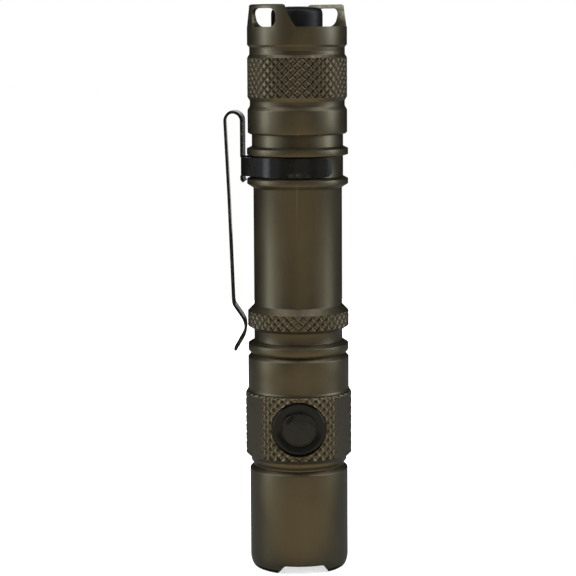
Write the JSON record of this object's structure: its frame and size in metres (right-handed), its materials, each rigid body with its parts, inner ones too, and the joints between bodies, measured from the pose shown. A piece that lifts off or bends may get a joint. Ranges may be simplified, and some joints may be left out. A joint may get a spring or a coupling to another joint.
{
  "type": "tactical flashlight",
  "caption": "Tube flashlight with a notched bezel, knurled head and tail, side button, rubber tail switch between two lanyard lugs, and a two-way pocket clip.",
  "frame": {"origin": "on the beam axis, in the plane of the three crown tips that the light stands on", "axes": "+Z from the bezel to the tail along the tube, -Y towards the side button, the pocket clip at -X"},
  "size_m": [0.0328, 0.0274, 0.1452],
  "materials": {
    "anodised_body": "satin",
    "black_steel": "gloss",
    "button_black": "gloss",
    "lens_glass": "polished",
    "mirror_aluminium": "polished",
    "rubber_black": "matte",
    "white_nylon": "matte",
    "led_phosphor": "gloss",
    "light_engine_plate": "matte",
    "stainless": "satin",
    "wire_red": "satin",
    "wire_black": "satin",
    "circuit_board": "satin",
    "black_plastic": "matte",
    "plunger_white": "matte",
    "brass_ring": "satin",
    "cell_core": "matte",
    "cell_wrap": "gloss",
    "insulator_paper": "matte"
  },
  "bodies": {
    "head": {"bezel": "anodised_body", "bezel_o_ring": "rubber_black", "lens": "lens_glass", "lens_o_ring": "rubber_black", "reflector": "mirror_aluminium", "led_gasket": "white_nylon", "led_emitter": "led_phosphor", "led_board": "light_engine_plate", "led_board_screws": "stainless", "led_wire_positive": "wire_red", "led_wire_negative": "wire_black", "head_body": "anodised_body", "side_button_ring": "button_black", "side_button_gasket": "rubber_black", "side_switch": "black_plastic", "side_switch_board": "circuit_board", "side_board_screws": "stainless", "driver_board": "circuit_board", "driver_components": "black_plastic", "driver_ring": "brass_ring", "driver_spring": "stainless"},
    "side_button": {"side_button_cap": "button_black", "side_switch_plunger": "black_plastic"},
    "front_seal": {"tube_front_o_ring": "rubber_black"},
    "tube": {"battery_tube": "anodised_body", "tube_rear_o_ring": "rubber_black", "battery_can": "stainless", "battery_core": "cell_core", "battery_gasket": "white_nylon", "battery_cap": "stainless", "battery_wrap": "cell_wrap", "battery_insulator": "insulator_paper"},
    "clip": {"pocket_clip": "black_steel"},
    "tail_clamp": {"boot_washer": "brass_ring"},
    "tail": {"tail_cap": "anodised_body", "tail_switch_holder": "black_plastic", "tail_switch_body": "black_plastic", "tail_board": "circuit_board", "tail_ring": "brass_ring", "tail_spring": "stainless"},
    "tail_button": {"tail_boot": "rubber_black", "tail_switch_plunger": "plunger_white"}
  },
  "joints": [
    {"name": "side_press", "type": "slide", "parent": "head", "child": "side_button", "axis": [0, 1, 0], "range_m": [0, 0.0004], "stiffness_N_per_m": 6000},
    {"name": "tube_travel", "type": "slide", "parent": "head", "child": "front_seal", "axis": [0, 0, 1], "range_m": [0, 0.006]},
    {"name": "tube_turn", "type": "hinge", "parent": "front_seal", "child": "tube", "pos_m": [0, 0, 0.05], "axis": [0, 0, 1], "range_deg": [0, 2160]},
    {"name": "clip_turn", "type": "hinge", "parent": "tube", "child": "clip", "pos_m": [0, 0, 0.1044], "axis": [0, 0, 1], "continuous": true},
    {"name": "tail_travel", "type": "slide", "parent": "tube", "child": "tail_clamp", "axis": [0, 0, 1], "range_m": [0, 0.006]},
    {"name": "tail_turn", "type": "hinge", "parent": "tail_clamp", "child": "tail", "pos_m": [0, 0, 0.118], "axis": [0, 0, 1], "range_deg": [0, 2160]},
    {"name": "tail_press", "type": "slide", "parent": "tail", "child": "tail_button", "axis": [0, 0, -1], "range_m": [0, 0.0015], "stiffness_N_per_m": 4000, "deforming": ["tail_boot"]}
  ],
  "couplings": [
    {"joint": "tube_turn", "follows": "tube_travel", "rad_per_m": 6283.2},
    {"joint": "tail_turn", "follows": "tail_travel", "rad_per_m": 6283.2}
  ]
}
